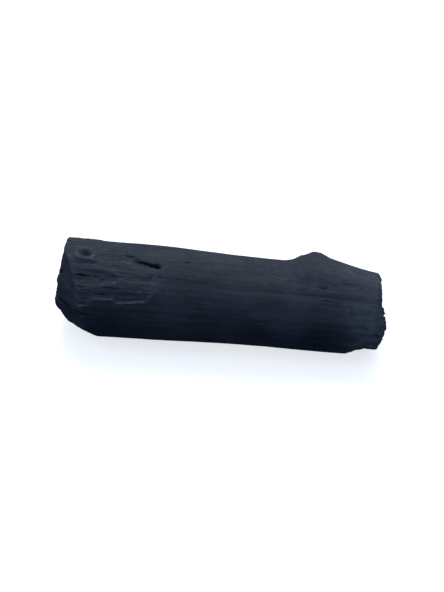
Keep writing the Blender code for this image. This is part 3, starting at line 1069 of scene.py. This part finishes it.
def maths(tree, operation, first, second=0.0, clamp=False):
    """One sum of two numbers, either of which may be an output."""
    made = tree.nodes.new("ShaderNodeMath")
    made.operation = operation
    made.use_clamp = clamp
    for index, value in enumerate((first, second)):
        if isinstance(value, bpy.types.NodeSocket):
            tree.links.new(value, made.inputs[index])
        else:
            made.inputs[index].default_value = value
    return made.outputs[0]


def scaled(tree, value, factor):
    return maths(tree, "MULTIPLY", value, factor)


def layered(tree, layer_name, share, under, over):
    """The colour under a layer of colour, with the layer over it where its share says."""
    return blended(tree, scaled(tree, share, SHOWS[layer_name]), under, over)


def spread(tree, value, low, high):
    """The value with low to high spread over 0 to 1."""
    made = node(
        tree,
        "ShaderNodeMapRange",
        {"Value": value, "From Min": low, "From Max": high},
        interpolation_type="SMOOTHSTEP",
    )
    return made.outputs["Result"]


def ranged(tree, value, reach):
    """The value's 0 to 1 as the first to the second number of the reach."""
    low, high = reach
    return maths(tree, "ADD", scaled(tree, value, high - low), low)


def clouded(tree, place, look):
    """A cloudy pattern from 0 to 1, drawn out along the grain."""
    size, detail, roughness, stretch, low, high = look
    scale = (1.0 / (size * stretch), 1.0 / size, 1.0 / size)
    mapping = node(tree, "ShaderNodeMapping", {"Vector": place, "Scale": scale})
    clouds = node(
        tree,
        "ShaderNodeTexNoise",
        {"Vector": mapping.outputs[0], "Scale": 1.0, "Detail": detail, "Roughness": roughness},
    )
    return spread(tree, clouds.outputs["Fac"], low, high)


def banded(tree, value, stops):
    """A grey that follows the value from 0 to 1 through stops of (value, grey)."""
    made = node(tree, "ShaderNodeValToRGB", {"Fac": value})
    elements = made.color_ramp.elements
    elements.remove(elements[-1])
    elements[0].position = stops[0][0]
    elements[0].color = (stops[0][1],) * 3 + (1.0,)
    for place, grey in stops[1:]:
        elements.new(place).color = (grey,) * 3 + (1.0,)
    return made.outputs["Color"]


def knot_reach(tree, place, shift, wobble):
    """How far out a point lies in the nearest knot, from 0 in its middle to 1 just outside it."""
    nearest = None
    for mm, clock, radius, _ in KNOTS:
        x = mm * MM - LENGTH / 2
        size = radius * MM * KNOT_REACH
        local = node(
            tree,
            "ShaderNodeMapping",
            {
                "Vector": place,
                "Location": pith(x) + outward(clock) * plain_girth(x, clock) + shift,
                "Scale": (size * KNOT_OVAL, size, size),
            },
            vector_type="TEXTURE",
        )
        away = node(tree, "ShaderNodeVectorMath", {0: local.outputs[0]}, operation="LENGTH")
        away = maths(tree, "ADD", away.outputs["Value"], wobble)
        nearest = away if nearest is None else maths(tree, "MINIMUM", nearest, away)
    return nearest


def knot_marks(tree, place, shift, looks):
    """(how pale a knot's bands are here, how much of a knot shows here)."""
    ragged = ranged(tree, looks["speckle"], KNOT_RAGGED)
    wobble = maths(tree, "ADD", ragged, ranged(tree, looks["uneven"], KNOT_UNEVEN))
    reach = knot_reach(tree, place, shift, wobble)
    bands = banded(tree, reach, KNOT_TONES)
    in_knot = maths(tree, "SUBTRACT", 1.0, spread(tree, reach, *KNOT_FADE))
    patches = ranged(tree, looks["blotches"], KNOT_PATCHES)
    return bands, maths(tree, "MULTIPLY", in_knot, patches)


def skin_or_wood(tree, marks, looks):
    """The colour of the matte skin, and of the wood where it is bared, with rings on the faces."""
    skin_tone = blended(tree, looks["clouds"], SKIN_DARK, SKIN_PALE)
    skin_tone = layered(tree, "blotches", looks["blotches"], skin_tone, SKIN_BLOTCH)
    skin_tone = layered(tree, "streaks", looks["streaks"], skin_tone, SKIN_STREAK)
    uneven = scaled(tree, maths(tree, "ADD", looks["streaks"], looks["blotches"]), 0.5)
    wood_tone = blended(tree, uneven, WOOD_DARK, WOOD_PALE)
    wood_tone = layered(tree, "fibres", looks["fibres"], wood_tone, WOOD_FIBRE)
    rings = banded(tree, maths(tree, "FRACT", marks["ring"]), RING_TONES)
    rings = maths(tree, "MULTIPLY", rings, marks["face"])
    wood_tone = layered(tree, "rings", rings, wood_tone, FACE_RING)
    return blended(tree, marks["bare"], skin_tone, wood_tone)


def weathered(tree, marks, looks, ash, tone):
    """The colour after its paler and its darker patches (its own tone, with a painted highlight and
    painted shade), its ash where it faces up (which also paints the top lighter) and its pale flecks.
    """
    # Paler patches, partly a painted highlight
    pale = maths(tree, "MAXIMUM", marks["tone"], 0.0)
    pale = maths(tree, "MULTIPLY", pale, ranged(tree, looks["blotches"], PALE_PATCHES))
    tone = layered(tree, "pale", pale, tone, PALE_TONE_AND_HIGHLIGHT)
    # Darker patches, partly painted shade
    dark_and_shaded = maths(tree, "MAXIMUM", scaled(tree, marks["tone"], -1.0), 0.0)
    tone = layered(tree, "dark_tone_and_shade", dark_and_shaded, tone, DARK_TONE_AND_SHADE)
    # Ash where the skin faces up, which also paints the top lighter
    tone = layered(tree, "ash", ash, tone, ASH_AND_TOP_LIGHT)
    exposed = maths(tree, "ADD", marks["ash_dust_and_top_light"], marks["bare"])
    flecks = maths(tree, "MULTIPLY", looks["flecks"], exposed)
    return layered(tree, "flecks", flecks, tone, ASH_AND_TOP_LIGHT)


def charcoal_material(shift):
    """Blue-black carbonised wood: matte skin, streaky bared wood, painted shade in the cracks, fine
    ash that also paints the upward faces lighter.
    """
    material = bpy.data.materials.new("charcoal")
    material.use_nodes = True
    tree = material.node_tree
    shader = tree.nodes["Principled BSDF"]
    place = node(tree, "ShaderNodeTexCoord").outputs["Object"]
    marks = {
        name: node(tree, "ShaderNodeAttribute", attribute_name=name).outputs["Fac"]
        for name in (*MARKS, "ash_dust_and_top_light")
    }
    looks = {name: clouded(tree, place, look) for name, look in CLOUDY.items()}
    # Ash where the skin faces up, also a painted lightening of the top
    ash = maths(tree, "MULTIPLY", marks["ash_dust_and_top_light"], ranged(tree, looks["speckle"], ASH_PATCHES))
    bands, in_knot = knot_marks(tree, place, shift, looks)

    tone = weathered(tree, marks, looks, ash, skin_or_wood(tree, marks, looks))
    tone = blended(tree, in_knot, tone, blended(tree, bands, DARK_TONE_AND_SHADE, KNOT_PALE))
    # Pale rim wear and a painted highlight on the ledges
    tone = layered(tree, "worn", marks["worn"], tone, WEAR_AND_LEDGE_HIGHLIGHT)
    # Painted shade in the cracks, darkest where they are deepest
    tone = layered(tree, "crack", marks["crack"], tone, CRACK_PAINTED_SHADE)
    tree.links.new(tone, shader.inputs["Base Color"])

    gloss = ranged(tree, looks["speckle"], ROUGHNESS)
    gloss = maths(tree, "SUBTRACT", gloss, scaled(tree, marks["bare"], BARE_SMOOTHER))
    gloss = maths(tree, "ADD", gloss, scaled(tree, ash, ASH_ROUGHER), clamp=True)
    tree.links.new(gloss, shader.inputs["Roughness"])
    shader.inputs["Specular IOR Level"].default_value = SPECULAR

    height = scaled(tree, maths(tree, "MULTIPLY", bands, in_knot), KNOT_BUMP)
    for name, share in BUMPS.items():
        height = maths(tree, "ADD", height, scaled(tree, looks[name], share))
    bump = node(
        tree,
        "ShaderNodeBump",
        {"Height": height, "Strength": BUMP_STRENGTH, "Distance": BUMP_HEIGHT},
    )
    tree.links.new(bump.outputs["Normal"], shader.inputs["Normal"])
    return material


def floor_material():
    material = bpy.data.materials.new("floor")
    material.use_nodes = True
    shader = material.node_tree.nodes["Principled BSDF"]
    shader.inputs["Base Color"].default_value = FLOOR_GREY
    shader.inputs["Roughness"].default_value = FLOOR_ROUGHNESS
    shader.inputs["Specular IOR Level"].default_value = 0.0
    shader.inputs["Emission Color"].default_value = (1.0, 1.0, 1.0, 1.0)
    shader.inputs["Emission Strength"].default_value = FLOOR_GLOW
    return material


def make_floor():
    bm = bmesh.new()
    bmesh.ops.create_grid(bm, x_segments=1, y_segments=1, size=FLOOR_SIZE / 2)
    mesh = bpy.data.meshes.new("floor")
    bm.to_mesh(mesh)
    bm.free()
    mesh.materials.append(floor_material())
    floor = bpy.data.objects.new("floor", mesh)
    bpy.context.scene.collection.objects.link(floor)
    floor.visible_diffuse = False
    floor.visible_glossy = False


def aim(thing, target, roll=0.0):
    """Turns a lamp or the camera to look at the target."""
    turn = (target - thing.location).to_track_quat("-Z", "Y").to_matrix()
    thing.rotation_euler = (turn @ Matrix.Rotation(math.radians(roll), 3, "Z")).to_euler()


def add_lamp(name, place, size, power, colour, target):
    data = bpy.data.lights.new(name, "AREA")
    data.shape = "DISK"
    data.size = size
    data.energy = power
    data.color = colour
    lamp = bpy.data.objects.new(name, data)
    lamp.location = place
    bpy.context.scene.collection.objects.link(lamp)
    aim(lamp, target)


def light_the_room(target):
    for name, (place, size, power, colour) in LAMPS.items():
        add_lamp(name, target + Vector(place), size, power, colour, target)
    world = bpy.data.worlds.new("room")
    world.use_nodes = True
    tree = world.node_tree
    backdrop = tree.nodes["Background"]
    direction = node(tree, "ShaderNodeTexCoord").outputs["Generated"]
    up = node(tree, "ShaderNodeSeparateXYZ", {"Vector": direction}).outputs["Z"]
    colour = blended(tree, spread(tree, up, 0.0, 1.0), LOW_BLUE, HIGH_BLUE)
    tree.links.new(colour, backdrop.inputs["Color"])
    glow = scaled(tree, spread(tree, up, *SKY_RISE), SKY_GLOW)
    strength = maths(tree, "ADD", glow, ROOM_GLOW)
    tree.links.new(strength, backdrop.inputs["Strength"])
    bpy.context.scene.world = world


def add_camera(target):
    data = bpy.data.cameras.new("camera")
    data.lens = CAMERA_LENS
    camera = bpy.data.objects.new("camera", data)
    lift = math.radians(CAMERA_ELEVATION)
    camera.location = target + Vector((0.0, -math.cos(lift), math.sin(lift))) * CAMERA_DISTANCE
    bpy.context.scene.collection.objects.link(camera)
    aim(camera, target, IMAGE_SLOPE)
    bpy.context.scene.camera = camera


def main():
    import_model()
    low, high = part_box(LUMP)
    target = (low + high) / 2

    lump, shift = make_lump()
    lump.data.materials.append(charcoal_material(shift))
    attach(lump, "root")
    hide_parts(LUMP)

    make_floor()
    light_the_room(target)
    add_camera(target)
    bpy.context.scene.view_settings.view_transform = "Standard"


main()
